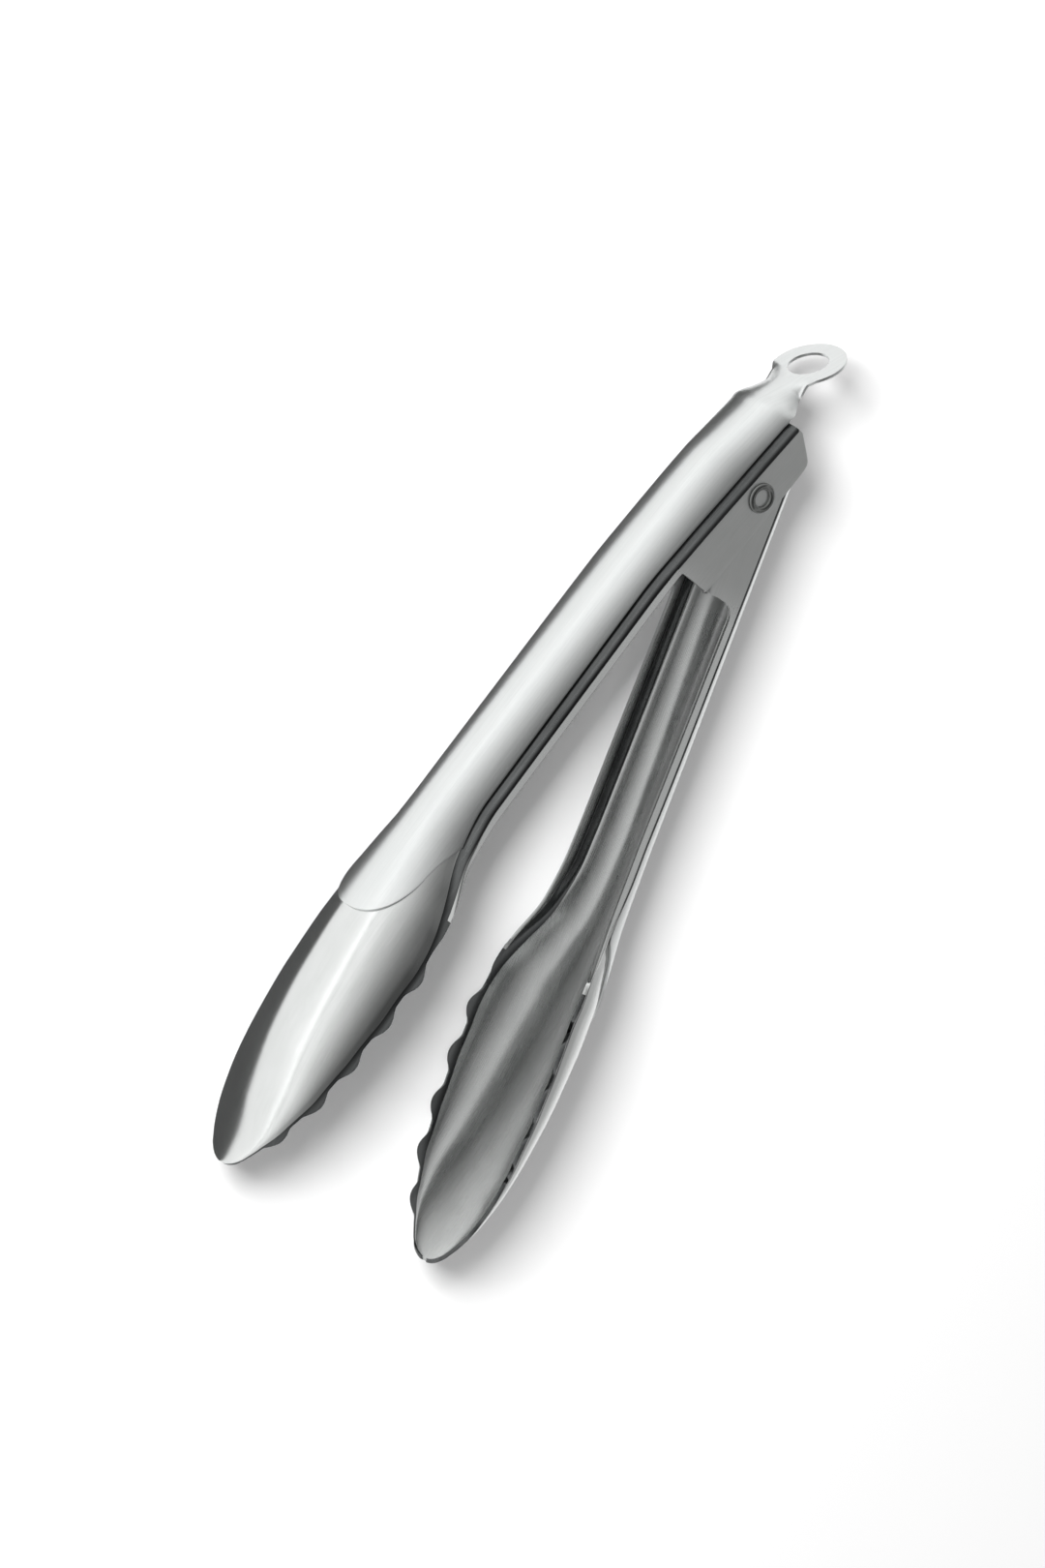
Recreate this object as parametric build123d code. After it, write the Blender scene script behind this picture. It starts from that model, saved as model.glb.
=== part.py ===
from build123d import *
import os
from math import acos, atan2, cos, degrees, hypot, radians, sin, sqrt, tan

# Spring loaded kitchen tongs, lying on their side and held open by their spring.
# Frame: origin on the pivot axis, midway between the cheeks; +X towards the tips along the line
# that halves the opening; +Z up, along the pivot axis. The ringed upper arm lies on the -Y side.
# Each arm is drawn closed in its own frame: x from the pivot to the tip, n outwards from the plane
# where the arms meet, w sideways. Then it is turned open about the pivot.

open_angle = 20.24         # angle between the arms at rest, degrees
tip_x = 250.0              # pivot to tip
tip_wall_x = 249.0         # where the pressed section ends
sheet = 1.2                # stainless sheet of the arms
cover_sheet = 0.9          # stainless sheet of the back covers
cover_gap = 0.12           # between an arm's back and its cover
cover_edge = 0.6           # height of a cover's edge above the crease
lip_n = 7.4                # free edge of the handle's lips
lip_end_x = 120.0          # where the lips begin to drop to the teeth
lip_bend = (146.0, 5.4)    # a point on that drop, and where it ends
lip_low_n = 2.7
lip_blend = 8.0

# Rivet, washers and spring
cheek_w = 15.8             # half the width outside the upper arm's cheeks
rivet_r = 3.2
rivet_bore_r = 2.6
rivet_rim_r = 4.65
rivet_rim_h = 1.0
rivet_rim_round = 0.42
pivot_play = 0.05
washer_r = 5.6
washer_h = 0.3
washer_play = 0.1
washer_w = 14.4            # middle of a washer, between an upper and a lower cheek
sleeve_r = 4.2
sleeve_half = 12.9
wire_r = 0.8
coil_r = 5.6
coil_whole_turns = 4
coil_half = 6.4            # half the coil's length, wire centre to wire centre
leg_x, leg_n = 34.0, 13.2  # where each of the spring's legs ends, under its arm's roof
leg_steps = 4
coil_step = 18             # degrees of coil between points of its path

# Gravity lock, inside the channel
lock_free_x = 25.0         # lock pin's place when the arms can open
lock_travel = 5.0
lock_pin_r = 1.5
lock_head_r = 2.3
lock_head_h = 0.7
lock_head_gap = 0.1
bracket_x = (15.0, 30.0)
bracket_top_n = 16.1
bracket_low_n = -3.0
bracket_w = 4.2
bracket_sheet = 1.0
hook_half = 0.9
hook_foot_n = 17.45
hook_foot_x = 19.5
hook_foot = (12.0, 1.0, 5.0)
hook_outline = [(13.5, hook_foot_n, 0), (13.5, -4.0, 1.2), (22.0, -4.0, 0.8), (22.0, -1.7, 0.6),
                (17.5, -1.7, 0.6), (17.5, hook_foot_n, 0), (13.5, hook_foot_n, 0)]

# Hanging ring
ring_x, ring_n = -42.5, 2.8
ring_r = 11.6
ring_hole_r = 6.35
ring_slope = 29.4          # how steeply the ring drops towards the closing plane, degrees
neck_start_x = -24.0
neck_span = 66.0
neck_span_cut = 4.0        # how much narrower than the arm's arch the neck begins, degrees to each side

# Front end of a cover, a rounded tongue on the head
tongue_x = 169.0
tongue_half = 14.3
tongue_length = 19.0
tongue_start_x = 110.0
tongue_fullness = 0.83     # 1 gives an ellipse, less a squarer end
tongue_cut_x = 190.0       # clear of the cover's front end

# Scalloped teeth
tooth_x = [175.0, 190.7, 206.4, 221.3, 236.0]
valley_x = [167.6, 182.8, 198.6, 213.9, 228.7, 242.6]
valley_n = 2.3
tooth_n = 0.15             # half the gap between closed teeth

# Tool sizes: how far a cutter reaches, and where the lofted sections are closed off before trimming
tool_reach = 40.0
outer_floor_n = -9.0
inner_floor_n = -10.0

# Where each line of the pressed section runs, as (x, value) pairs joined by a smooth curve.
# The rows after x = 90 are the same on both arms.
head_crown = [(90, 20.5), (130, 21.0), (165, 20.5), (190, 18.3), (210, 14.8), (230, 8.8), (242, 4.2),
              (250, 1.7)]
head_crease_n = [(90, 12.2), (120, 12.2), (140, 9.6), (155, 5.2), (170, 2.3), (236, 2.2), (250, 0.6)]
head_crease_w = [(90, 12.0), (122, 12.1), (136, 13.4), (150, 17.4), (162, 20.6), (176, 22.1), (190, 22.3),
                 (206, 21.4), (220, 19.7), (232, 16.2), (241, 11.2), (247, 6.3), (250, 2.4)]
head_flare_w = [(90, 3.8), (122, 3.6), (160, 2.2), (250, 1.9)]
head_flare_n = [(90, 0.8), (122, 1.0), (160, 2.0), (236, 2.0), (250, 0.4)]
head_span = [(90, 69.0), (120, 69.0), (170, 84.0), (250, 84.0)]
upper_crown = [(-24, 12.4), (-10, 15.1), (0, 17.0), (20, 18.4), (45, 19.5)] + head_crown
upper_crease_n = [(-24, 5.6), (0, 8.1), (25, 10.7), (45, 12.2)] + head_crease_n
lower_crown = [(-24, 18.2), (0, 18.8), (45, 19.6)] + head_crown
lower_crease_n = [(-24, 11.3), (0, 11.5), (45, 11.9)] + head_crease_n
nesting_w = [(-24, 1.6), (110, 1.6), (160, 0.0), (250, 0.0)]

# The neck between the upper cover and the ring: half width, and how far its edges hang below its crown
neck_half = [(-38, 8.6), (-35, 7.9), (-31.5, 7.7), (-28, 9.2), (-24, 12.2)]
neck_drop = [(-38, 0.05), (-35, 1.5), (-31.5, 4.0), (-28, 5.9), (-24, 7.0)]

# Where the neck's sections stand, and how far each is drawn in inside the sheet it joins
neck_stations = [(-37, 0.3), (-34, 0.3), (-30.5, 0.1), (-27, 0.0), (-22, 0.25)]

# Where the lofted sections stand: an arm's and its cover's share theirs, so that they fit
upper_rear_x = [-22.6, -18, -12, -6]
lower_rear_x = [-13, -6]
back_x = [0, 11, 22, 45, 70, 83, 96, 118, 130, 142, 154, 166, 180]
head_x = [194, 207, 219, 230, 239, 245.5, tip_wall_x]
cover_edge_x = [0, 22, 45, 120, 135, 148, 160]

# Side outline of each arm's cheek behind the front edge, as (x, n, corner radius)
upper_cheek = [(-40.0, -20.0, 0), (-40.0, 6.5, 0), (-22.9, 5.6, 0), (-22.3, 1.8, 3.0), (-17.4, -7.3, 2.5)]
lower_cheek = [(-40.0, -20.0, 0), (-40.0, 30.0, 0), (-6.6, 30.0, 0), (-6.6, 11.0, 1.0), (-12.1, 3.6, 2.0),
               (-12.1, -0.3, 0.8), (-2.0, -5.2, 4.0)]
cheek_front = [(30.6, -4.8, 2.0), (32.4, 0.5, 3.0)]
cheek_front_x = 32.4
cheek_sweep_r = {"upper": 2.5, "lower": 6.0}    # where a cheek's front edge runs into its lip


def smooth(knots, x):
    """Value at x on a smooth curve through the knots that never overshoots them."""
    if x <= knots[0][0]:
        return knots[0][1]
    if x >= knots[-1][0]:
        return knots[-1][1]
    slopes = [(b[1] - a[1]) / (b[0] - a[0]) for a, b in zip(knots, knots[1:])]
    i = max(k for k in range(len(slopes)) if knots[k][0] <= x)

    def tangent(k):
        if k == 0:
            return slopes[0]
        if k == len(slopes):
            return slopes[-1]
        before, after = slopes[k - 1], slopes[k]
        if before * after <= 0:
            return 0.0
        return 2 * before * after / (before + after)

    (x0, y0), (x1, y1) = knots[i], knots[i + 1]
    span = x1 - x0
    t = (x - x0) / span
    rise = y0 * (1 + 2 * t) * (1 - t) ** 2 + y1 * t * t * (3 - 2 * t)
    return rise + span * (tangent(i) * t * (1 - t) ** 2 - tangent(i + 1) * t * t * (1 - t))


def rounded(corners):
    """Edges of a path through (x, n, radius) corners, each rounded to its radius."""
    edges = []
    at = Vector(corners[0][0], corners[0][1], 0)
    for before, corner, after in zip(corners, corners[1:], corners[2:]):
        here = Vector(corner[0], corner[1], 0)
        if corner[2] == 0:
            edges.append(Line(at, here))
            at = here
            continue
        back = (Vector(before[0], before[1], 0) - here).normalized()
        ahead = (Vector(after[0], after[1], 0) - here).normalized()
        half = radians(back.get_angle(ahead)) / 2
        middle = (back + ahead).normalized()
        start = here + back * (corner[2] / tan(half))
        end = here + ahead * (corner[2] / tan(half))
        crest = here + middle * (corner[2] / sin(half) - corner[2])
        edges.append(Line(at, start))
        edges.append(ThreePointArc(start, crest, end))
        at = end
    edges.append(Line(at, Vector(corners[-1][0], corners[-1][1], 0)))
    return edges


def arch(crown, edge_w, edge_n, span):
    """An ellipse's top part: its crown, and its edges at the span's angle to each side."""
    half_n = (crown - edge_n) / (1 - cos(span))
    return dict(centre=crown - half_n, half_n=half_n, half_w=edge_w / sin(span), span=span)


def arm_arch(arm, x):
    """The arch of an arm's pressed section at x."""
    upper = arm == "upper"
    narrow = 0.0 if upper else smooth(nesting_w, x)
    crown = smooth(upper_crown if upper else lower_crown, x)
    crease_n = smooth(upper_crease_n if upper else lower_crease_n, x)
    crease_w = smooth(head_crease_w, x) - narrow
    return arch(crown, crease_w, crease_n, radians(smooth(head_span, x)))


def arch_point(s, angle, offset):
    """Point (n, w) on the arch, moved outwards by the offset."""
    n = s["centre"] + s["half_n"] * cos(angle)
    w = s["half_w"] * sin(angle)
    normal_n, normal_w = cos(angle) / s["half_n"], sin(angle) / s["half_w"]
    length = hypot(normal_n, normal_w)
    return n + offset * normal_n / length, w + offset * normal_w / length


def arch_edge(s, x, span, offset):
    """The arch as one smooth edge in the plane at x, from one side to the other."""
    steps = 12
    points = [arch_point(s, span * (2 * k / steps - 1), offset) for k in range(steps + 1)]
    return Edge.make_spline([Vector(x, n, w) for n, w in points])


def arm_section(arm, x, inset, floor_n):
    """Closed face of an arm's section at x, drawn in by the inset and closed off below."""
    s = arm_arch(arm, x)
    top = arch_edge(s, x, s["span"], -inset)
    low, high = top @ 0, top @ 1
    crease_n, crease_w = arch_point(s, s["span"], 0)
    shoulder_w = crease_w + smooth(head_flare_w, x) - inset
    shoulder_n = crease_n - smooth(head_flare_n, x) - inset
    corners = [(high.Y, high.Z), (shoulder_n, shoulder_w), (floor_n, shoulder_w),
               (floor_n, -shoulder_w), (shoulder_n, -shoulder_w), (low.Y, low.Z)]
    sides = [Edge.make_line(Vector(x, *a), Vector(x, *b)) for a, b in zip(corners, corners[1:])]
    return Face(Wire([top] + sides))


def rim_cutter(arm):
    """What is trimmed off an arm in side view: below its lips and teeth, and around its cheeks."""
    mid_n = (valley_n + tooth_n) / 2
    turns = [(x, valley_n) for x in valley_x] + [(x, tooth_n) for x in tooth_x]
    turns.sort()
    turns.append((tip_wall_x, tooth_n))
    crossings = [((a[0] + b[0]) / 2, mid_n) for a, b in zip(turns, turns[1:])]
    blend_x = crossings[0][0] - lip_blend
    edges = [ThreePointArc((lip_end_x, lip_n), lip_bend, (blend_x, lip_low_n)),
             ThreePointArc((blend_x, lip_low_n), (turns[0][0], valley_n), crossings[0])]
    for turn, start, end in zip(turns[1:], crossings, crossings[1:]):
        edges.append(ThreePointArc(start, turn, end))
    beyond = tip_x + 3
    last = crossings[-1]
    around = [(last[0], last[1], 0), (beyond, tooth_n, 0), (beyond, -20.0, 0)]
    around += upper_cheek if arm == "upper" else lower_cheek
    around += cheek_front + [(cheek_front_x, lip_n, cheek_sweep_r[arm]), (lip_end_x, lip_n, 0)]
    return extrude(Face(Wire(edges + rounded(around))), amount=tool_reach, both=True)


def pressed_arm(arm):
    """One arm pressed from one sheet: hinge cheeks, lipped channel and scalloped head."""
    stations = (upper_rear_x if arm == "upper" else lower_rear_x) + back_x + head_x
    inner = [stations[0] - 1] + stations[1:-1] + [tip_wall_x - sheet]
    outside = loft([arm_section(arm, x, 0.0, outer_floor_n) for x in stations])
    inside = loft([arm_section(arm, x, sheet, inner_floor_n) for x in inner])
    pivot_hole = Cylinder(rivet_r + pivot_play, 2 * tool_reach)
    return outside - rim_cutter(arm) - inside - pivot_hole


def cover_edge_cutter(arm):
    """What is trimmed off a cover in side view: everything below its edge, and behind its rear end."""
    upper = arm == "upper"
    rear = (upper_rear_x if upper else lower_rear_x)[0 if upper else -1]
    knots = upper_crease_n if upper else lower_crease_n
    line = [(x, smooth(knots, x) + cover_edge) for x in [rear] + cover_edge_x]
    front = [(tip_x, line[-1][1]), (tip_x, -tool_reach)]
    back = [(rear - tool_reach, -tool_reach), (rear - tool_reach, line[0][1] if upper else tool_reach)]
    if not upper:
        back.append((rear, tool_reach))
    return extrude(make_face(Polyline(*line, *front, *back, close=True)), amount=tool_reach, both=True)


def neck_section(x, inset):
    """Thin closed face of the neck between the upper cover and the ring, thinned where it joins them."""
    if x > neck_start_x:
        s = arm_arch("upper", x)
        s["span"] -= radians(neck_span_cut)
    else:
        crown = ring_n + (x - ring_x) * tan(radians(ring_slope)) - cover_gap - cover_sheet
        s = arch(crown, smooth(neck_half, x), crown - smooth(neck_drop, x), radians(neck_span))
    under = arch_edge(s, x, s["span"], cover_gap + inset)
    top = arch_edge(s, x, s["span"], cover_gap + cover_sheet - inset)
    ends = [Edge.make_line(under @ 0, top @ 0), Edge.make_line(under @ 1, top @ 1)]
    return Face(Wire([under, top] + ends))


def tongue_cutter():
    """What is trimmed off a cover in plan to leave a straight-sided tongue with a rounded end."""
    steps = 16
    bend_x = tongue_x - tongue_length
    outline = [(tongue_start_x, tongue_half), (tongue_start_x, -tongue_half)]
    for k in range(steps + 1):
        angle = radians(180.0 * k / steps - 90)
        reach = abs(cos(angle)) ** tongue_fullness
        side = abs(sin(angle)) ** tongue_fullness
        outline.append((bend_x + tongue_length * reach, tongue_half * (side if angle > 0 else -side)))
    tongue = make_face(Polyline(*outline, close=True))
    length = tongue_cut_x - tongue_start_x
    around = Pos(tongue_start_x + length / 2, 0) * Rectangle(length, 2 * tool_reach) - tongue
    return Pos(0, tool_reach, 0) * Rot(90, 0, 0) * extrude(around, amount=tool_reach)


def ring_plane():
    """The outer face of the hanging ring."""
    slope = radians(ring_slope)
    along = (cos(slope), sin(slope), 0)
    outwards = (-sin(slope), cos(slope), 0)
    return Plane(origin=(ring_x, ring_n, 0), x_dir=along, z_dir=outwards)


def cover(arm):
    """A back cover that follows its arm's arch; the upper one runs on into the hanging ring."""
    stations = (upper_rear_x if arm == "upper" else lower_rear_x) + back_x
    outside = loft([arm_section(arm, x, -cover_gap - cover_sheet, outer_floor_n) for x in stations])
    inner = [stations[0] - 1] + stations[1:-1] + [stations[-1] + 1]
    inside = loft([arm_section(arm, x, -cover_gap, inner_floor_n) for x in inner])
    body = outside - cover_edge_cutter(arm) - tongue_cutter() - inside
    if arm == "lower":
        return body
    neck = loft([neck_section(x, inset) for x, inset in neck_stations])
    ring = ring_plane() * Pos(0, 0, -cover_sheet / 2) * Cylinder(ring_r, cover_sheet)
    hole = ring_plane() * Cylinder(ring_hole_r, 8 * cover_sheet)
    return body + (neck + ring - hole)


def rivet():
    """Hollow rivet through all four cheeks, with a rolled rim at each end."""
    length = 2 * cheek_w
    body = Cylinder(rivet_r, length)
    for side in (1, -1):
        rim = Cylinder(rivet_rim_r, rivet_rim_h)
        rim = fillet(rim.edges(), rivet_rim_round)
        body += Pos(0, 0, side * (cheek_w + pivot_play + rivet_rim_h / 2)) * rim
        body += Pos(0, 0, side * cheek_w) * Cylinder(rivet_r, 2 * pivot_play)
    return body - Cylinder(rivet_bore_r, 2 * length)


def washer(side):
    """Thin washer between an upper and a lower cheek."""
    ring = Cylinder(washer_r, washer_h) - Cylinder(rivet_r + washer_play, 2 * washer_h)
    return Pos(0, 0, side * washer_w) * ring


def sleeve():
    """Spacer tube round the rivet, inside the spring."""
    return Cylinder(sleeve_r, 2 * sleeve_half) - Cylinder(rivet_r + pivot_play, 3 * sleeve_half)


def torsion_spring():
    """The opening spring at rest: a coil round the sleeve with one leg under each arm's roof."""
    reach = hypot(leg_x, leg_n)
    off_coil = degrees(atan2(leg_n, leg_x)) + degrees(acos(coil_r / reach)) + open_angle / 2
    sweep_angle = 360 * (coil_whole_turns + 1) - 2 * off_coil
    leg = sqrt(reach ** 2 - coil_r ** 2)
    along = radians(off_coil - 90)
    path = []
    for k in range(leg_steps, 0, -1):
        out = leg * k / leg_steps
        path.append((coil_r * cos(radians(off_coil)) + out * cos(along),
                     coil_r * sin(radians(off_coil)) + out * sin(along), -coil_half))
    coil_steps = round(sweep_angle / coil_step)
    for k in range(coil_steps + 1):
        angle = radians(off_coil + sweep_angle * k / coil_steps)
        path.append((coil_r * cos(angle), coil_r * sin(angle), coil_half * (2 * k / coil_steps - 1)))
    path += [(x, -y, coil_half) for x, y, z in reversed(path[:leg_steps])]
    line = Edge.make_spline([Vector(*p) for p in path])
    return sweep(Plane(origin=line @ 0, z_dir=line % 0) * Circle(wire_r), path=line)


def lock_bracket():
    """Upturned channel under the upper arm's roof, with a slot in each ear for the lock pin."""
    back_x, front_x = bracket_x
    middle_x = (back_x + front_x) / 2
    height = bracket_top_n - bracket_low_n
    body = Pos(middle_x, bracket_top_n - height / 2, 0) * Box(front_x - back_x, height, 2 * bracket_w)
    inside = Pos(middle_x, bracket_top_n - bracket_sheet - height / 2, 0)
    body -= inside * Box(2 * (front_x - back_x), height, 2 * (bracket_w - bracket_sheet))
    slot = SlotCenterToCenter(lock_travel, 2 * (lock_pin_r + pivot_play))
    return body - Pos(lock_free_x - lock_travel / 2, 0, 0) * extrude(slot, amount=2 * bracket_w, both=True)


def lock_pin():
    """Headed pin that slides in the bracket's slots; shown where the arms are free."""
    head_w = bracket_w + lock_head_gap + lock_head_h / 2
    body = Cylinder(lock_pin_r, 2 * head_w)
    for side in (1, -1):
        body += Pos(0, 0, side * head_w) * Cylinder(lock_head_r, lock_head_h)
    return Pos(lock_free_x, 0, 0) * body


def lock_hook():
    """Hook on the lower arm whose nose passes over the lock pin when the arms are closed."""
    body = extrude(Face(Wire(rounded(hook_outline))), amount=hook_half, both=True)
    foot = Pos(hook_foot_x, hook_foot_n - hook_foot[1] / 2, 0) * Box(*hook_foot)
    return body + foot


def place(shape, arm):
    """Turn a shape drawn in an arm's own closed frame (x, n, w) to where it is at rest."""
    if arm == "upper":
        shape = mirror(shape, about=Plane.XZ)
        return shape.rotate(Axis.Z, -open_angle / 2)
    return shape.rotate(Axis.Z, open_angle / 2)


def write_parts():
    """Write every piece to its own file, where it is at rest."""
    os.makedirs("parts", exist_ok=True)
    for arm in ("upper", "lower"):
        export_step(place(pressed_arm(arm), arm), "parts/" + arm + "_arm.step")
        export_step(place(cover(arm), arm), "parts/" + arm + "_cover.step")
    export_step(rivet(), "parts/pivot_rivet.step")
    export_step(washer(1), "parts/near_washer.step")
    export_step(washer(-1), "parts/far_washer.step")
    export_step(sleeve(), "parts/spring_sleeve.step")
    export_step(torsion_spring(), "parts/torsion_spring.step")
    export_step(place(lock_bracket(), "upper"), "parts/lock_bracket.step")
    export_step(place(lock_pin(), "upper"), "parts/lock_pin.step")
    export_step(place(lock_hook(), "lower"), "parts/lock_hook.step")


if __name__ == "__main__":
    write_parts()
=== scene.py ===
from math import acos, asin, atan2, cos, hypot, pi, radians, sin, sqrt, tan

import bpy
from mathutils import Matrix, Vector


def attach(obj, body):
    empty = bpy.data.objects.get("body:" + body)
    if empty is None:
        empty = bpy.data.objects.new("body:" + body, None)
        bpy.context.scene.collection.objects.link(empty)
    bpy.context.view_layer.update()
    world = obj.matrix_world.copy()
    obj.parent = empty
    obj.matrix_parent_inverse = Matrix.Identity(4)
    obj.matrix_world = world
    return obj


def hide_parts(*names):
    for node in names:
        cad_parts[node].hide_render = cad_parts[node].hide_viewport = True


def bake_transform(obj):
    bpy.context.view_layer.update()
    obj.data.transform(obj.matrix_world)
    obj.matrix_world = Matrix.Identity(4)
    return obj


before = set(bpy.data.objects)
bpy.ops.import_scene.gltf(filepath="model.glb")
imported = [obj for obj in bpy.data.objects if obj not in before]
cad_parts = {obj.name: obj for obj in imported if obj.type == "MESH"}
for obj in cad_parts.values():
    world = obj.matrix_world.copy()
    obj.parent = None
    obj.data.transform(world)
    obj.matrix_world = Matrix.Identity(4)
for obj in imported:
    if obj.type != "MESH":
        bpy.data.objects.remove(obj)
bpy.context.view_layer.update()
print("frame loaded")

mm = 0.001
halfOpening = radians(10.12)  # each arm stands this far from the middle line at rest


# Each arm is drawn closed: x from pivot to tip, n outwards, w sideways, in millimetres.
def atRest(arm, x, n, w):
    side = -1 if arm == "upper" else 1
    along = x * cos(halfOpening) - n * sin(halfOpening)
    across = side * (x * sin(halfOpening) + n * cos(halfOpening))
    return Vector((along * mm, across * mm, w * mm))


# Value at x on a smooth line through (x, value) knots, with no overshoot.
def onLine(knots, x):
    if x <= knots[0][0]:
        return knots[0][1]
    if x >= knots[-1][0]:
        return knots[-1][1]
    slopes = [(b[1] - a[1]) / (b[0] - a[0]) for a, b in zip(knots, knots[1:])]
    i = max(k for k in range(len(slopes)) if knots[k][0] <= x)

    def slopeAt(k):
        before, after = slopes[max(k - 1, 0)], slopes[min(k, len(slopes) - 1)]
        return 0.0 if before * after <= 0 else 2 * before * after / (before + after)

    (x0, y0), (x1, y1) = knots[i], knots[i + 1]
    span, t = x1 - x0, (x - x0) / (x1 - x0)
    ends = y0 * (1 + 2 * t) * (1 - t) ** 2 + y1 * t * t * (3 - 2 * t)
    return ends + span * (slopeAt(i) * t * (1 - t) ** 2 - slopeAt(i + 1) * t * t * (1 - t))


# The greater and the lesser of two heights, rounded where they cross.
def softMax(a, b, round):
    return (a + b + sqrt((a - b) ** 2 + round ** 2)) / 2


def softMin(a, b, round):
    return (a + b - sqrt((a - b) ** 2 + round ** 2)) / 2


# The pressed section of an arm; both heads are alike.
pressing = {
    "sheet": 1.2,
    "tip": 250.0,
    "headStart": 155.0,
    "noseStart": 246.0,  # the tip closes in a round nose from here
    "creaseRound": 1.1,
    "shoulderRound": 1.3,
    "brokenEdge": 0.28,
    "crownHead": [(90, 20.5), (130, 21.0), (165, 20.5), (190, 18.3), (210, 14.8), (230, 8.8), (242, 4.2),
                  (250, 1.7)],
    "creaseHead": [(90, 12.2), (120, 12.2), (140, 9.6), (155, 5.2), (170, 2.3), (236, 2.2), (250, 1.1)],
    "creaseW": [(90, 12.0), (122, 12.1), (136, 13.4), (150, 17.4), (162, 20.6), (176, 22.1), (190, 22.3),
                (206, 21.4), (220, 19.7), (232, 16.2), (241, 11.6), (246, 8.0)],
    "flareW": [(90, 3.8), (122, 3.6), (160, 2.2), (240, 2.0), (250, 0.6)],
    "flareN": [(90, 0.8), (122, 1.0), (160, 2.0), (236, 2.0), (250, 0.4)],
    "span": [(90, 69.0), (120, 69.0), (170, 84.0), (250, 84.0)],
    "nesting": [(110, 1.6), (160, 0.0)],  # the lower arm is this much narrower on each side
    "archSteps": 26,
    "bendSteps": 14,
    "lipSteps": 9,
}
crowns = {
    "upper": [(-24, 12.4), (-10, 15.1), (0, 17.0), (20, 18.4), (45, 19.5)] + pressing["crownHead"],
    "lower": [(-24, 18.2), (0, 18.8), (45, 19.6)] + pressing["crownHead"],
}
creases = {
    "upper": [(-24, 5.6), (0, 8.1), (25, 10.7), (45, 12.2)] + pressing["creaseHead"],
    "lower": [(-24, 11.3), (0, 11.5), (45, 11.9)] + pressing["creaseHead"],
}
teeth = {
    "peaks": [175.0, 190.7, 206.4, 221.3, 236.0],
    "valleys": [167.6, 182.8, 198.6, 213.9, 228.7, 242.6],
    "depth": 2.3,
    "foot": 0.8,  # the sheet's inner edge comes lower than this outer one
}
edges = {
    "lip": 7.4,
    "lipDrop": [(100, 7.4), (120, 7.4), (137, 6.6), (152, 3.9), (162, 2.6), (167.6, 2.3)],
    "noseX": 31.7,
    "noseN": -4.8,
    "frontRise": 15.0,
    "frontX": 32.4,
    "sweep": 6.0,
    "upperBottom": (30.6, -4.8, 0.052),  # a straight edge: x, n and rise
    "upperRear": (-22.3, 1.8, -1.857),
    "lowerBottom": -4.95,
    "lowerRear": (-12.1, -0.3, -0.485),
}


# An ellipse's top: crown height, and where its edges stand at the span's angle.
def archOf(crown, edgeW, edgeN, span):
    tall = (crown - edgeN) / (1 - cos(span))
    return {"centre": crown - tall, "tall": tall, "wide": edgeW / sin(span), "span": span}


def armArch(arm, x):
    crown = onLine(crowns[arm], x)
    creaseW = onLine(pressing["creaseW"], x)
    if x > pressing["noseStart"]:
        nose = pressing["tip"] - pressing["noseStart"]
        creaseW *= sqrt(max(0.002, (pressing["tip"] - x) / nose))
    if arm == "lower":
        creaseW -= onLine(pressing["nesting"], x)
    return archOf(crown, creaseW, onLine(creases[arm], x), radians(onLine(pressing["span"], x)))


def archPoint(arch, angle, offset=0.0):
    normalN, normalW = cos(angle) / arch["tall"], sin(angle) / arch["wide"]
    length = hypot(normalN, normalW)
    n = arch["centre"] + arch["tall"] * cos(angle) + offset * normalN / length
    w = arch["wide"] * sin(angle) + offset * normalW / length
    return n, w


def straight(line, x):
    return line[1] + (x - line[0]) * line[2]


# Height of the lip just ahead of the cheek; the lower arm's rises to it in a wide sweep.
def lipSweep(arm, x):
    if arm == "upper" or x > edges["frontX"] + edges["sweep"]:
        return edges["lip"]
    reach = min(edges["frontX"] + edges["sweep"] - x, edges["sweep"])
    return edges["lip"] - edges["sweep"] + sqrt(edges["sweep"] ** 2 - reach ** 2)


# Height of an arm's free edge at x: cheek, nose, lip, neck and teeth.
def freeEdge(arm, x):
    if x < 100:
        if arm == "upper":
            bottom = softMax(straight(edges["upperBottom"], x), straight(edges["upperRear"], x), 2.2)
        else:
            bottom = softMax(edges["lowerBottom"], straight(edges["lowerRear"], x), 1.0)
        front = edges["noseN"] + (x - edges["noseX"]) * edges["frontRise"]
        return softMin(softMax(bottom, front, 3.0), lipSweep(arm, x), 2.4 if arm == "upper" else 1.0)
    if x < teeth["valleys"][0]:
        return onLine(edges["lipDrop"], x)
    turns = [(v, teeth["depth"]) for v in teeth["valleys"]] + [(p, teeth["foot"]) for p in teeth["peaks"]]
    turns = sorted(turns) + [(249.0, teeth["foot"]), (251.0, teeth["foot"])]
    for (x0, n0), (x1, n1) in zip(turns, turns[1:]):
        if x0 <= x <= x1:
            return n0 + (n1 - n0) * (1 - cos(pi * (x - x0) / (x1 - x0))) / 2
    return teeth["foot"]


def lengthsAlong(path):
    run = [0.0]
    for a, b in zip(path, path[1:]):
        run.append(run[-1] + hypot(b[0] - a[0], b[1] - a[1]))
    return run


def pointAt(path, run, distance):
    for k in range(1, len(path)):
        if distance <= run[k] or k == len(path) - 1:
            t = (distance - run[k - 1]) / max(run[k] - run[k - 1], 1e-9)
            t = min(max(t, 0.0), 1.0)
            return tuple(a + (b - a) * t for a, b in zip(path[k - 1], path[k]))


# Point on the curve from start to end that leans towards the corner.
def onCurve(start, corner, end, t):
    return tuple(a * (1 - t) ** 2 + 2 * c * t * (1 - t) + b * t * t for a, c, b in zip(start, corner, end))


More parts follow.
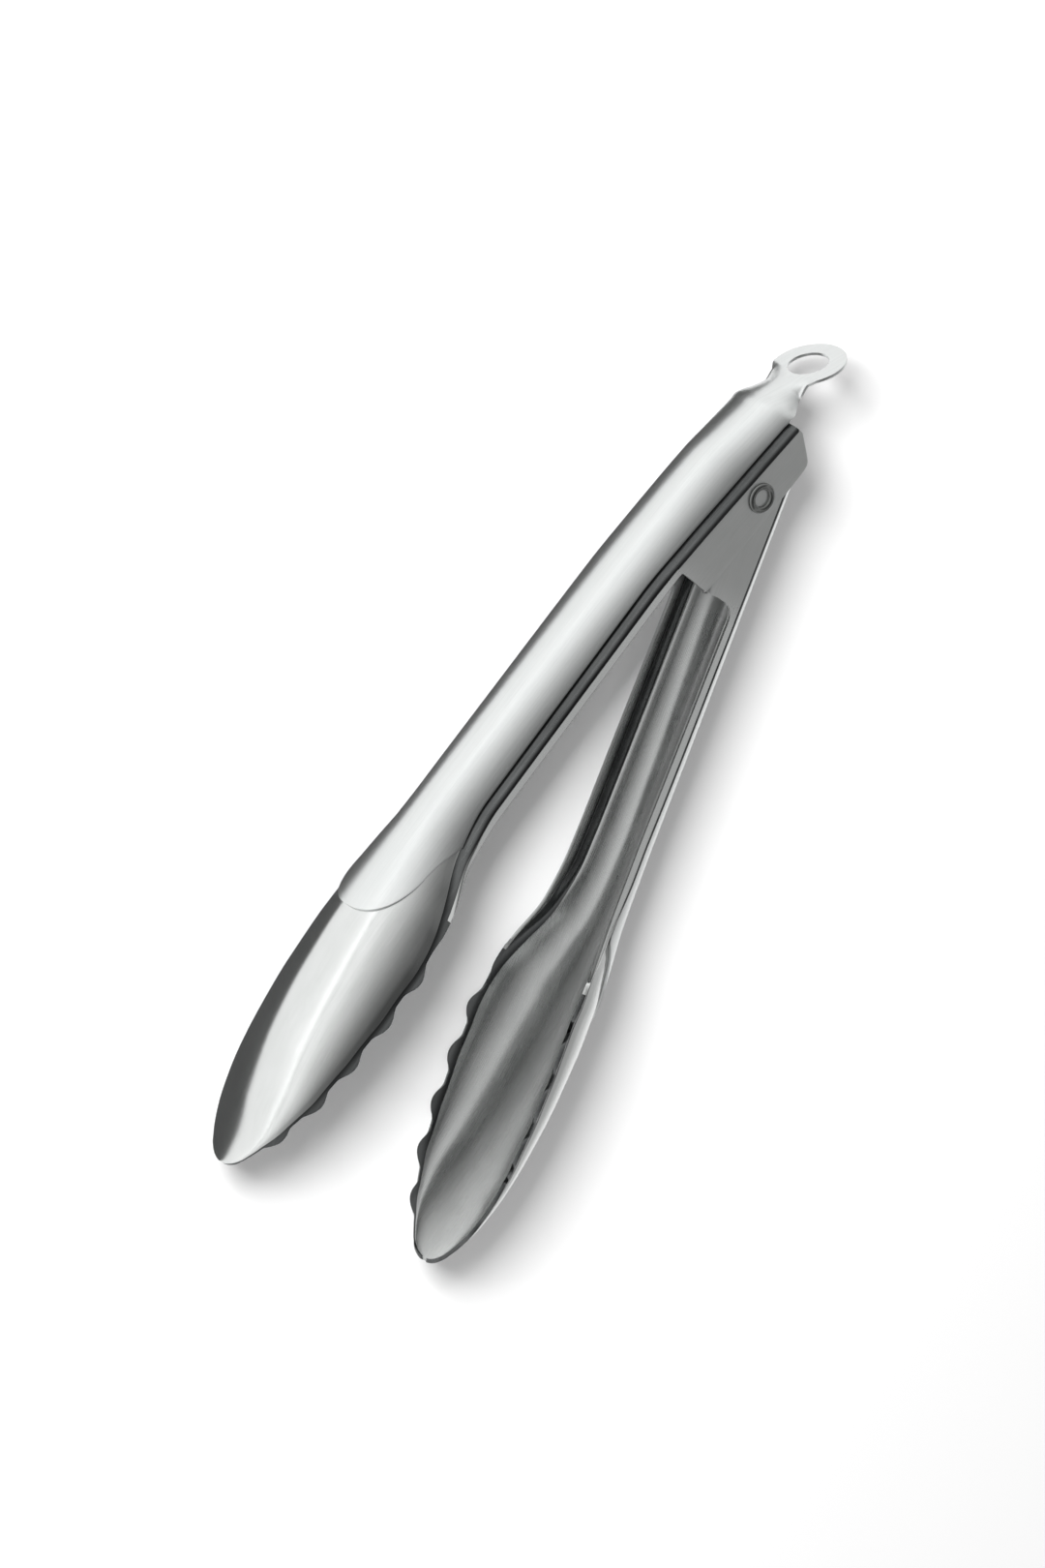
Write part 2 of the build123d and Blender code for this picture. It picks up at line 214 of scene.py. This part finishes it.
# A corner of a path turned into a small curve that starts and ends reach away from it.
def roundCorner(before, corner, after, reach, steps=6):
    def stepBack(target):
        length = hypot(target[0] - corner[0], target[1] - corner[1])
        t = min(0.49, reach / max(length, 1e-6))
        return tuple(c + (p - c) * t for c, p in zip(corner, target))

    start, end = stepBack(before), stepBack(after)
    curve = []
    for k in range(steps + 1):
        curve.append(onCurve(start, corner, end, k / steps))
    return curve


# One side of an arm's section, from the crown down to the free edge, as evenly placed points.
def armSection(arm, x):
    arch = armArch(arm, x)
    crease = archPoint(arch, arch["span"])
    flareW, flareN = onLine(pressing["flareW"], x), onLine(pressing["flareN"], x)
    shoulder = (crease[0] - flareN, crease[1] + flareW)
    bottom = min(freeEdge(arm, x), crease[0] - 0.2)
    lift = archPoint(arch, arch["span"] * 0.9)
    path = roundCorner(lift, crease, shoulder, pressing["creaseRound"])
    if bottom < shoulder[0] - 0.05:
        path += roundCorner(path[-1], shoulder, (bottom, shoulder[1]), pressing["shoulderRound"])
        path.append((bottom, shoulder[1]))
    else:
        t = (crease[0] - bottom) / max(flareN, 1e-6)
        path.append((bottom, crease[1] + flareW * t))
        path = [p for p in path[:-1] if p[0] >= bottom] + [path[-1]]
    liftLength = max(0.1 * arch["span"] * arch["wide"], 1e-6)
    share = min(0.49, pressing["creaseRound"] / liftLength)
    archEnd = arch["span"] * (1 - 0.1 * share * 2)
    arcSteps, bendSteps, lipSteps = pressing["archSteps"], pressing["bendSteps"], pressing["lipSteps"]
    points = [archPoint(arch, archEnd * k / arcSteps) for k in range(arcSteps)]
    run = lengthsAlong(path)
    bendLength = min(hypot(flareW, flareN) + 1.6, 0.7 * run[-1])
    for k in range(bendSteps):
        points.append(pointAt(path, run, bendLength * k / bendSteps))
    for k in range(lipSteps + 1):
        points.append(pointAt(path, run, bendLength + (run[-1] - bendLength) * k / lipSteps))
    return points


# A mesh from rows of points, each point (position, along, across), the last two being its surface place.
def sheetMesh(name, rows, faces=None):
    verts, places = [], []
    for row in rows:
        for position, along, across in row:
            verts.append(position)
            places.append((along, across))
    if faces is None:
        count = len(rows[0])
        faces = []
        for i in range(len(rows) - 1):
            for j in range(count - 1):
                a = i * count + j
                faces.append((a, a + 1, a + count + 1, a + count))
    mesh = bpy.data.meshes.new(name)
    mesh.from_pydata(verts, [], faces)
    layer = mesh.uv_layers.new(name="surface")
    for loop in mesh.loops:
        layer.data[loop.index].uv = places[loop.vertex_index]
    for polygon in mesh.polygons:
        polygon.use_smooth = True
    mesh.update()
    piece = bpy.data.objects.new(name, mesh)
    bpy.context.scene.collection.objects.link(piece)
    return piece


# Gives a skin its sheet thickness, drawn inwards, and softly broken edges.
def thicken(piece, sheet, edge, inside=0):
    solid = piece.modifiers.new("sheet", "SOLIDIFY")
    solid.thickness = sheet * mm
    solid.offset = -1.0
    solid.material_offset = inside
    solid.use_even_offset = True
    bevel = piece.modifiers.new("brokenEdges", "BEVEL")
    bevel.width = edge * mm
    bevel.segments = 2
    bevel.limit_method = "ANGLE"
    bevel.angle_limit = radians(55)
    bevel.use_clamp_overlap = True


def spread(start, end, step):
    count = max(1, round((end - start) / step))
    return [start + (end - start) * k / count for k in range(count)]


def armStations(arm):
    if arm == "upper":
        stations = spread(-22.6, -16.5, 0.3) + spread(-16.5, 29.5, 1.5)
    else:
        stations = spread(heel["start"], 29.5, 1.5)
    stations += spread(29.5, 31.5, 0.25) + spread(31.5, 32.9, 0.07) + spread(32.9, 39, 0.35)
    stations += spread(39, 120, 1.8) + spread(120, 167.6, 1.2) + spread(167.6, 243, 0.75)
    stations += spread(243, 248.5, 0.4) + spread(248.5, 249.95, 0.12) + [249.95]
    return stations


def makeArm(arm):
    rows = []
    for x in armStations(arm):
        half = armSection(arm, x)
        run = lengthsAlong(half)
        row = [(atRest(arm, x, n, -w), x, -d) for (n, w), d in reversed(list(zip(half, run)))]
        row += [(atRest(arm, x, n, w), x, d) for (n, w), d in list(zip(half, run))[1:]]
        rows.append(row)
    piece = sheetMesh(arm + "ArmSteel", rows)
    if arm == "lower":
        addHeels(piece, rows[0])
    flipIfNeeded(piece, arm)
    markBends(piece, rows)
    # the inside faces take the third material, a painted shade
    thicken(piece, pressing["sheet"], pressing["brokenEdge"], inside=2)
    return piece


# The bend beside the arch takes the second material, a painted shade, and so does all of a head's flange,
# where that dark tone is a painted dark reflection.
def markBends(piece, rows):
    columns = len(rows[0]) - 1
    start, end = pressing["archSteps"] + 2, pressing["archSteps"] + pressing["bendSteps"]
    for polygon in piece.data.polygons[: (len(rows) - 1) * columns]:
        x = rows[polygon.index // columns][0][1]
        beside = abs(polygon.index % columns + 0.5 - columns / 2)
        polygon.material_index = 1 if start < beside and (beside < end or x > pressing["headStart"]) else 0


heel = {
    "start": -6.6,
    "stations": [-7.2, -8.0, -9.0, -10.0, -10.8, -11.4, -11.8, -12.05, -12.1],
    "slant": (-6.6, 11.0, 1.345),
    "back": (-12.1, 3.4, 12.0),
    "top": 9.4,
    "least": 0.4,  # height that is always left at the rear edge
}


# The lower arm's cheeks reach back past its roof as flat ears that stop the opening.
def addHeels(piece, firstRow):
    lipSteps = pressing["lipSteps"]
    arch = armArch("lower", heel["start"])
    shoulderW = archPoint(arch, arch["span"])[1] + onLine(pressing["flareW"], heel["start"])
    count = len(firstRow)
    verts = [v.co.copy() for v in piece.data.vertices]
    faces = [tuple(p.vertices) for p in piece.data.polygons]
    places = [None] * len(verts)
    for loop in piece.data.loops:
        places[loop.vertex_index] = tuple(piece.data.uv_layers[0].data[loop.index].uv)
    for side in (-1, 1):
        columns = [count - 1 - k if side > 0 else k for k in range(lipSteps + 1)]
        previous = columns
        for x in heel["stations"]:
            low = freeEdge("lower", x)
            slope = softMin(straight(heel["slant"], x), straight(heel["back"], x), 1.5)
            top = max(softMin(slope, heel["top"], 0.5), low + heel["least"])
            current = []
            for k in range(lipSteps + 1):
                n = low + (top - low) * k / lipSteps
                verts.append(atRest("lower", x, n, side * shoulderW))
                places.append((x, side * (30 - k)))
                current.append(len(verts) - 1)
            for a, b, c, d in zip(previous, previous[1:], current[1:], current):
                faces.append((a, b, c, d) if side > 0 else (d, c, b, a))
            previous = current
    name = piece.data.name
    mesh = bpy.data.meshes.new(name + "Heeled")
    mesh.from_pydata(verts, [], faces)
    layer = mesh.uv_layers.new(name="surface")
    for loop in mesh.loops:
        layer.data[loop.index].uv = places[loop.vertex_index]
    for polygon in mesh.polygons:
        polygon.use_smooth = True
    piece.data = mesh


# The skin's faces look outwards, so that the sheet is drawn inwards from them.
def flipIfNeeded(piece, arm):
    outward = -1 if arm == "upper" else 1
    total = sum(p.normal.y * p.area for p in piece.data.polygons)
    if total * outward < 0:
        piece.data.flip_normals()


cover = {
    "sheet": 0.9,
    "offset": 0.95,  # outer face above the arm's back
    "aboveCrease": 0.6,
    "tongueEnd": 169.0,
    "tongueHalf": 14.3,
    "tongueLength": 19.0,
    "tonguePower": 2.4,
    "steps": 30,
    "brokenEdge": 0.22,
}
ring = {
    "x": -42.5,
    "n": 2.8,
    "radius": 11.6,
    "hole": 6.35,
    "slope": radians(29.4),
    "neckHalf": [(-38, 8.6), (-35, 7.9), (-31.5, 7.7), (-28, 9.2), (-25, 11.6), (-22.6, 12.8)],
    "neckDrop": [(-38, 0.02), (-35, 1.5), (-31.5, 4.0), (-28, 5.9), (-24, 7.0)],
    "joinX": -31.0,
    "neckSpan": radians(66),
    "cornerAngle": radians(47),
    "waist": (1.1, -0.35),  # from the rim's end and the neck's edge
    "steps": 84,
    "filletSteps": 8,
    "rings": 12,
}


def neckArch(x):
    crown = ring["n"] + (x - ring["x"]) * tan(ring["slope"]) - cover["offset"]
    return archOf(crown, onLine(ring["neckHalf"], x), crown - onLine(ring["neckDrop"], x), ring["neckSpan"])


def coverArch(arm, x):
    if arm == "lower" or x >= -20:
        return armArch(arm, x)
    if x <= -26:
        return neckArch(x)
    t = (x + 26) / 6
    t = t * t * (3 - 2 * t)
    a, b = neckArch(x), armArch(arm, x)
    return {key: a[key] * (1 - t) + b[key] * t for key in a}


def coverEdgeAngle(arm, arch, x):
    if arm == "upper" and x < -22.6:
        t = min(1.0, max(0.0, (-22.6 - x) / 3))
        angle = arch["span"] * (0.965 * (1 - t) + t)
    else:
        low, high = 0.2, arch["span"]
        target = onLine(creases[arm], x) + cover["aboveCrease"]
        for _ in range(30):
            middle = (low + high) / 2
            if archPoint(arch, middle, cover["offset"])[0] > target:
                low = middle
            else:
                high = middle
        angle = low
    half = cover["tongueHalf"]
    bendX = cover["tongueEnd"] - cover["tongueLength"]
    if x > bendX:
        t = min(1.0, (x - bendX) / cover["tongueLength"])
        half *= max(0.0, 1 - t ** cover["tonguePower"]) ** (1 / cover["tonguePower"])
    if x > 100:
        sine = half / (arch["wide"] + cover["offset"])
        if sine < 1:
            angle = min(angle, asin(sine))
    return max(angle, 0.004)


def coverRow(arm, x):
    arch = coverArch(arm, x)
    edge = coverEdgeAngle(arm, arch, x)
    row, across, last = [], 0.0, None
    steps = cover["steps"]
    for k in range(-steps, steps + 1):
        n, w = archPoint(arch, edge * k / steps, cover["offset"])
        if last:
            across += hypot(n - last[0], w - last[1])
        last = (n, w)
        row.append((atRest(arm, x, n, w), x, across))
    middle = across / 2
    return [(p, x, a - middle) for p, x, a in row]


def makeCover(arm):
    if arm == "upper":
        stations = spread(ring["joinX"], -18, 0.5) + spread(-18, 0, 1.5)
    else:
        stations = spread(-6.0, 0, 1.5)
    stations += spread(0, 150, 2.0) + spread(150, 164, 0.8)
    stations += spread(164, 168, 0.35) + spread(168, 168.95, 0.1) + [168.95, 168.99]
    rows = [coverRow(arm, x) for x in stations]
    if arm == "lower":
        piece = sheetMesh("lowerCoverSatin", rows)
    else:
        piece = sheetMesh("upperCoverSatin", *withRing(rows))
    flipIfNeeded(piece, arm)
    thicken(piece, cover["sheet"], cover["brokenEdge"])
    return piece


# Height of the ring's and neck's outer face at (x, w).
def ringHeight(x, w):
    arch = neckArch(min(x, -26.0))
    reach = min(abs(w) / arch["wide"], sin(arch["span"]))
    return arch["centre"] + arch["tall"] * sqrt(1 - reach ** 2) + cover["offset"]


# Adds the ring behind the neck: rows of points from the hole out, whose front ones meet the neck's first row.
def withRing(rows):
    first = rows[0]
    count = len(first)
    flat = cos(ring["slope"])
    neck = []
    for k in range(count):
        arch = coverArch("upper", ring["joinX"])
        edge = coverEdgeAngle("upper", arch, ring["joinX"])
        neck.append((ring["joinX"], archPoint(arch, edge * (2 * k / (count - 1) - 1), cover["offset"])[1]))
    around, filletSteps = ring["steps"], ring["filletSteps"]
    outer = list(neck)
    start, end = ring["cornerAngle"], 2 * pi - ring["cornerAngle"]
    join = neck[-1]
    rim = [(ring["x"] + ring["radius"] * cos(a) * flat, ring["radius"] * sin(a))
           for a in [start + (end - start) * k / around for k in range(around + 1)]]

    # A concave curve from the neck's edge to the ring's rim on each side.
    waist = (rim[0][0] + ring["waist"][0], join[1] + ring["waist"][1])
    near = [onCurve(join, waist, rim[0], k / filletSteps) for k in range(1, filletSteps)]
    outer += near + rim + [(x, -w) for x, w in reversed(near)]
    rings = ring["rings"]
    faces, verts = [], [point for row in rows for point in row]
    total = len(outer)
    ids = [list(range(count)) + [None] * (total - count)]
    for j in range(1, rings + 1):
        level = []
        t = j / rings
        for x, w in outer:
            direction = Vector(((x - ring["x"]) / flat, w))
            inner = direction.normalized() * ring["hole"]
            px = ring["x"] + (direction.x * (1 - t) + inner.x * t) * flat
            pw = direction.y * (1 - t) + inner.y * t
            verts.append((atRest("upper", px, ringHeight(px, pw), pw), px, pw))
            level.append(len(verts) - 1)
        ids.append(level)
    for k in range(count, total):
        x, w = outer[k]
        verts.append((atRest("upper", x, ringHeight(x, w), w), x, w))
        ids[0][k] = len(verts) - 1
    for i in range(len(rows) - 1):
        for j in range(count - 1):
            a = i * count + j
            faces.append((a, a + 1, a + count + 1, a + count))
    for level, deeper in zip(ids, ids[1:]):
        for k in range(total):
            k2 = (k + 1) % total
            faces.append((level[k2], level[k], deeper[k], deeper[k2]))
    return [verts], faces


# A round piece about the pivot, from (radius, height) points going round its section.
def turned(name, profile, steps=72):
    rows = []
    closed = profile + profile[:1]
    run = lengthsAlong(closed)
    for i in range(steps + 1):
        a = 2 * pi * i / steps
        row = []
        for (r, h), d in zip(closed, run):
            row.append((Vector((r * cos(a) * mm, r * sin(a) * mm, h * mm)), r * a, d))
        rows.append(row)
    piece = sheetMesh(name, rows)
    weld = piece.modifiers.new("weld", "WELD")
    weld.merge_threshold = 0.00001
    return piece


rivet = {"tube": 3.2, "bore": 2.6, "rim": 4.65, "seat": 15.85, "top": 16.85}


# A hollow rivet: each end is rolled outwards into a rounded rim.
def makeRivet():
    middle = (rivet["rim"] + rivet["bore"]) / 2
    half = (rivet["rim"] - rivet["bore"]) / 2
    rise = rivet["top"] - rivet["seat"]
    rolled = []
    for k in range(17):
        a = pi * k / 16
        rolled.append((middle + half * cos(a), rivet["seat"] + 0.15 + (rise - 0.15) * sin(a) ** 0.8))
    top = [(rivet["tube"], rivet["seat"]), (rivet["rim"] - 0.1, rivet["seat"])] + rolled
    bottom = [(r, -h) for r, h in reversed(top)]
    return turned("rivetTurned", top + bottom)


spring = {"coil": 5.6, "half": 6.4, "turns": 4, "wire": 0.8, "leg": (34.0, 13.2), "sides": 12, "rigid": 5.6}


# The spring's path: a leg under each arm's roof, and the coil round the sleeve between them.
def springPath():
    reach = hypot(*spring["leg"])
    rim, half = spring["coil"], spring["half"]
    off = atan2(spring["leg"][1], spring["leg"][0]) + acos(rim / reach) + halfOpening
    leg = sqrt(reach ** 2 - rim ** 2)
    sweep = 2 * pi * (spring["turns"] + 1) - 2 * off
    start = [(rim * cos(off) + out * sin(off), rim * sin(off) - out * cos(off), -half)
             for out in [leg * k / 16 for k in range(16, 0, -1)]]
    steps = round(sweep / radians(7.5))
    coil = []
    for k in range(steps + 1):
        a = off + sweep * k / steps
        coil.append((rim * cos(a), rim * sin(a), half * (2 * k / steps - 1)))
    return [Vector(p) for p in start + coil + [(x, -y, half) for x, y, z in reversed(start)]]


# A round wire along the path, closed at both ends.
def makeSpring():
    path, sides = springPath(), spring["sides"]
    across = Vector((0, 0, 1))
    rows, along = [], 0.0
    for k, point in enumerate(path):
        heading = (path[min(k + 1, len(path) - 1)] - path[max(k - 1, 0)]).normalized()
        across = (across - heading * across.dot(heading)).normalized()
        beside = heading.cross(across)
        along += (point - path[max(k - 1, 0)]).length
        ring = [point + (across * cos(a) + beside * sin(a)) * spring["wire"]
                for a in [2 * pi * i / sides for i in range(sides)]]
        rows.append([(p * mm, along, i) for i, p in enumerate(ring)])
    faces = []
    for k in range(len(rows) - 1):
        for i in range(sides):
            j = (i + 1) % sides
            faces.append((k * sides + i, k * sides + j, (k + 1) * sides + j, (k + 1) * sides + i))
    last = (len(rows) - 1) * sides
    faces += [tuple(reversed(range(sides))), tuple(range(last, last + sides))]
    return sheetMesh("openingSpring", rows, faces)


# A shader value that takes part in Python expressions.
class Flow:
    def __init__(self, finish, socket):
        self.finish, self.socket = finish, socket

    def join(self, operation, left, right):
        return self.finish.node("ShaderNodeMath", {"operation": operation}, {0: left, 1: right})

    def __add__(self, other):
        return self.join("ADD", self, other)

    def __radd__(self, other):
        return self.join("ADD", other, self)

    def __mul__(self, other):
        return self.join("MULTIPLY", self, other)

    def __rmul__(self, other):
        return self.join("MULTIPLY", other, self)


# A material's or the surroundings' nodes; the shader is the one that its values feed.
class Finish:
    def __init__(self, holder, shader="Principled BSDF", constants=None):
        holder.use_nodes = True
        self.tree = holder.node_tree
        self.shader = self.tree.nodes[shader]
        for key, value in (constants or {}).items():
            self.feed(key, value)

    def put(self, socket, value):
        if isinstance(value, Flow):
            self.tree.links.new(value.socket, socket)
        else:
            socket.default_value = value

    def node(self, kind, settings=None, inputs=None, output=0):
        made = self.tree.nodes.new(kind)
        for key, value in (settings or {}).items():
            if key == "stops":
                ramp = made.color_ramp.elements
                while len(ramp) < len(value):
                    ramp.new(0.5)
                for element, (position, colour) in zip(ramp, value):
                    element.position = position
                    element.color = colour
            else:
                setattr(made, key, value)
        for key, value in (inputs or {}).items():
            self.put(made.inputs[key], value)
        return Flow(self, made.outputs[output])

    def feed(self, name, value):
        self.put(self.shader.inputs[name], value)

    def ramp(self, value, stops):
        return self.node("ShaderNodeValToRGB", {"stops": stops}, {0: value})

    # Where a point lies on its sheet: millimetres along the arm, and across it.
    def surface(self):
        return self.node("ShaderNodeUVMap", {"uv_map": "surface"})

    def stretched(self, place, along, across):
        return self.node("ShaderNodeMapping", {}, {"Vector": place, "Scale": (along, across, 1.0)})

    def noise(self, vector, scale, detail=2.0, roughness=0.5):
        return self.node("ShaderNodeTexNoise", {}, {"Vector": vector, "Scale": scale, "Detail": detail,
                                                    "Roughness": roughness})

    def between(self, value, low, high, newLow=0.0, newHigh=1.0):
        return self.node("ShaderNodeMapRange", {}, {"Value": value, "From Min": low, "From Max": high,
                                                    "To Min": newLow, "To Max": newHigh})

    def mixColour(self, factor, a, b):
        return self.node("ShaderNodeMix", {"data_type": "RGBA"}, {0: factor, 6: a, 7: b}, 2)

    def bump(self, height, strength, distance):
        return self.node("ShaderNodeBump", {}, {"Height": height, "Strength": strength, "Distance": distance})


satin = {"dark": (0.6, 0.615, 0.61, 1), "light": (0.72, 0.735, 0.73, 1), "roughness": 0.32}
polish = {"dark": (0.56, 0.575, 0.565, 1), "light": (0.68, 0.69, 0.685, 1), "roughness": 0.17, "cheek": 0.36}
# crease tone: near-black steel, painted shade in the bends beside the arch and a painted dark reflection on
# the heads' flanges
crease = {"dark": (0.05, 0.052, 0.052, 1), "light": (0.13, 0.135, 0.135, 1), "roughness": 0.2, "cheek": 0.3}
# inner tone: the inside faces' steel, darker than the outside as painted shade in the channel; its rougher
# finish is the steel's own
inner = {"dark": (0.44, 0.45, 0.445, 1), "light": (0.6, 0.61, 0.605, 1), "roughness": 0.26, "cheek": 0.36}


def newMaterial(name):
    return bpy.data.materials.new(name)


# Satin covers: a fine grain along the handle, and faint wear.
def satinFinish():
    material = newMaterial("satinSteel")
    finish = Finish(material, constants={"Metallic": 1.0})
    place = finish.surface()
    grain = finish.noise(finish.stretched(place, 0.06, 9.0), 1.0, 4.0, 0.6)
    long = finish.noise(finish.stretched(place, 0.012, 1.6), 1.0, 2.0)
    wear = finish.noise(finish.stretched(place, 0.05, 0.09), 1.0, 5.0, 0.65)
    mixed = grain * 0.55 + long * 0.3 + wear * 0.15
    tint = finish.between(mixed, 0.3, 0.7)
    smooth, rough = satin["roughness"] - 0.05, satin["roughness"] + 0.06
    finish.feed("Base Color", finish.mixColour(tint, satin["dark"], satin["light"]))
    finish.feed("Roughness", finish.between(mixed, 0.25, 0.75, smooth, rough))
    finish.feed("Normal", finish.bump(grain, 0.05, 0.00006))
    return material


# Pressed steel in one tone: smoother along the arm, satin on the flat hinge cheeks. Its crease tone is
# painted shade and painted dark reflection, and its inner tone a painted darker shade.
def polishFinish(name, tone):
    material = newMaterial(name)
    finish = Finish(material, constants={"Metallic": 1.0})
    place = finish.surface()
    along = finish.node("ShaderNodeSeparateXYZ", {}, {"Vector": place})
    cheek = finish.between(along, 40.0, 26.0)
    grain = finish.noise(finish.stretched(place, 0.05, 6.0), 1.0, 4.0, 0.6)
    smears = finish.noise(finish.stretched(place, 0.05, 0.12), 1.0, 5.0, 0.6)
    mixed = grain * 0.5 + smears * 0.5
    finish.feed("Base Color", finish.mixColour(finish.between(mixed, 0.3, 0.7), tone["dark"], tone["light"]))
    plain = finish.between(mixed, 0.25, 0.75, tone["roughness"] - 0.03, tone["roughness"] + 0.05)
    finish.feed("Roughness", plain + cheek * (tone["cheek"] - tone["roughness"]))
    finish.feed("Normal", finish.bump(grain, 0.03, 0.00005))
    return material


def wireFinish(name, colour, roughness):
    material = newMaterial(name)
    finish = Finish(material, constants={"Metallic": 1.0})
    place = finish.node("ShaderNodeTexCoord", {}, {}, 3)
    grain = finish.noise(place, 900.0, 4.0, 0.6)
    darker = tuple(0.8 * c for c in colour[:3]) + (1,)
    finish.feed("Base Color", finish.mixColour(finish.between(grain, 0.3, 0.7), darker, colour))
    finish.feed("Roughness", finish.between(grain, 0.2, 0.8, roughness - 0.06, roughness + 0.08))
    return material


# A new mesh has no materials to clear, and clearing would forget which faces take which.
def paint(piece, *materials):
    if len(piece.data.materials):
        piece.data.materials.clear()
    for material in materials:
        piece.data.materials.append(material)


satinSteel = satinFinish()
polishedSteel = polishFinish("polishedSteel", polish)
# the bends' and flanges' steel: painted shade and painted dark reflection
creaseSteel = polishFinish("creaseSteel", crease)
# the inside faces' steel, darker as painted shade
innerSteel = polishFinish("innerSteel", inner)
rivetSteel = wireFinish("rivetSteel", (0.22, 0.225, 0.22, 1), 0.18)
springSteel = wireFinish("springSteel", (0.42, 0.42, 0.42, 1), 0.28)
plainSteel = wireFinish("plainSteel", (0.5, 0.5, 0.49, 1), 0.33)

for arm in ("upper", "lower"):
    steel = makeArm(arm)
    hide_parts(arm + "_arm")
    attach(steel, arm)
    # outside steel; bends and flanges with painted shade and dark reflection; inside with painted shade; the
    # bends' inside again with painted shade
    paint(steel, polishedSteel, creaseSteel, innerSteel, creaseSteel)
    back = makeCover(arm)
    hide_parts(arm + "_cover")
    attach(back, arm)
    paint(back, satinSteel)
print("arms and covers made")

rivetPiece = makeRivet()
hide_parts("pivot_rivet")
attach(rivetPiece, "upper")
paint(rivetPiece, rivetSteel)
for node in ("near_washer", "far_washer", "spring_sleeve"):
    paint(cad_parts[node], rivetSteel)
springPiece = makeSpring()
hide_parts("torsion_spring")
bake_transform(springPiece)
paint(springPiece, springSteel)
for node in ("lock_bracket", "lock_pin", "lock_hook"):
    paint(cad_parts[node], plainSteel)
print("rivet, spring and lock finished")


# The floor, the lights, and the surroundings that polished steel shows.
studio = {
    "floor": (0.97, 0.97, 0.97, 1),
    "floorZ": -0.0246,
    "aim": (0.1, 0.0, 0.0),
    # how far round from the pale side to the dark axis, and how bright it is there
    "skyAxis": (0.0, 0.342, 0.94),
    "sky": [(0.0, 0.9), (0.33, 1.1), (0.43, 1.3), (0.57, 0.95), (0.70, 0.72), (0.82, 0.45), (0.915, 0.25),
            (0.965, 0.17), (1.0, 0.06)],
    "skyStrength": 1.0,
    # lamps light the floor; cards are only seen in the steel
    "lamps": [
        {"name": "keyLamp", "at": (-0.05, -1.75, 1.3), "size": (0.5, 0.5), "power": 62.0},
    ],
    "cards": [
        {"name": "backCard", "at": (0.1, 1.2, 1.35), "size": (3.0, 0.34), "glow": 0.45},
    ],
    # a black sheet under the object that only the steel sees, a painted reflection of the floor's shade
    # beside the arm, as (x, y) corners
    "flag": [(-0.05, -0.025), (0.262, -0.075), (0.262, -0.04), (-0.05, 0.0)],
    "paintedShadeSheetLift": 0.001,
    "paintedShadeSheetColour": (0.09, 0.09, 0.09, 1),
}


def addLight(entry, power, shownTo):
    data = bpy.data.lights.new(entry["name"], "AREA")
    data.shape = "RECTANGLE"
    data.size, data.size_y = entry["size"]
    data.energy = power
    lamp = bpy.data.objects.new(entry["name"], data)
    lamp.location = entry["at"]
    lamp.rotation_euler = (Vector(studio["aim"]) - lamp.location).to_track_quat("-Z", "Y").to_euler()
    lamp.visible_glossy = shownTo == "steel"
    lamp.visible_diffuse = shownTo == "floor"
    bpy.context.scene.collection.objects.link(lamp)


def makeSky():
    world = bpy.data.worlds.new("studio")
    sky = Finish(world, "Background", {"Strength": studio["skyStrength"]})
    place = sky.node("ShaderNodeTexCoord")
    both = {0: place, 1: studio["skyAxis"]}
    facing = sky.node("ShaderNodeVectorMath", {"operation": "DOT_PRODUCT"}, both, "Value")
    stops = [(position, (glow, glow, glow, 1)) for position, glow in studio["sky"]]
    sky.feed("Color", sky.ramp(sky.between(facing, -1.0, 1.0), stops))
    bpy.context.scene.world = world


# A flat sheet of one plain colour.
def layFlat(name, corners, z, colour):
    mesh = bpy.data.meshes.new(name)
    mesh.from_pydata([(x, y, z) for x, y in corners], [], [tuple(range(len(corners)))])
    flat = bpy.data.objects.new(name, mesh)
    bpy.context.scene.collection.objects.link(flat)
    material = newMaterial(name + "Finish")
    Finish(material, constants={"Base Color": colour, "Roughness": 0.85, "Specular IOR Level": 0.0})
    mesh.materials.append(material)
    return flat


def makeStudio():
    far = 4.0
    layFlat("floor", [(-far, -far), (far, -far), (far, far), (-far, far)], studio["floorZ"], studio["floor"])
    # the sheet is a painted shade, seen only in the steel's reflections
    flag = layFlat("flag", studio["flag"], studio["floorZ"] + studio["paintedShadeSheetLift"], studio["paintedShadeSheetColour"])
    flag.visible_camera = flag.visible_diffuse = flag.visible_shadow = False
    makeSky()
    for entry in studio["lamps"]:
        addLight(entry, entry["power"], "floor")
    for entry in studio["cards"]:
        addLight(entry, entry["glow"] * pi * entry["size"][0] * entry["size"][1], "steel")


makeStudio()

viewpoint = {
    "at": (0.11798, -1.45128, 1.59657),
    "right": (-0.4855, 0.648, 0.5868),
    "up": (-0.8742, -0.3637, -0.3217),
    "back": (0.005, -0.6692, 0.7431),
    "lens": 252.1,
}
cameraData = bpy.data.cameras.new("camera")
cameraData.sensor_fit = "HORIZONTAL"
cameraData.sensor_width = 36.0
cameraData.lens = viewpoint["lens"]
cameraData.clip_end = 20.0
camera = bpy.data.objects.new("camera", cameraData)
turn = Matrix((viewpoint["right"], viewpoint["up"], viewpoint["back"])).transposed().to_4x4()
camera.matrix_world = Matrix.Translation(viewpoint["at"]) @ turn
bpy.context.scene.collection.objects.link(camera)
bpy.context.scene.camera = camera
bpy.context.scene.view_settings.view_transform = "Standard"
print("studio and camera set")
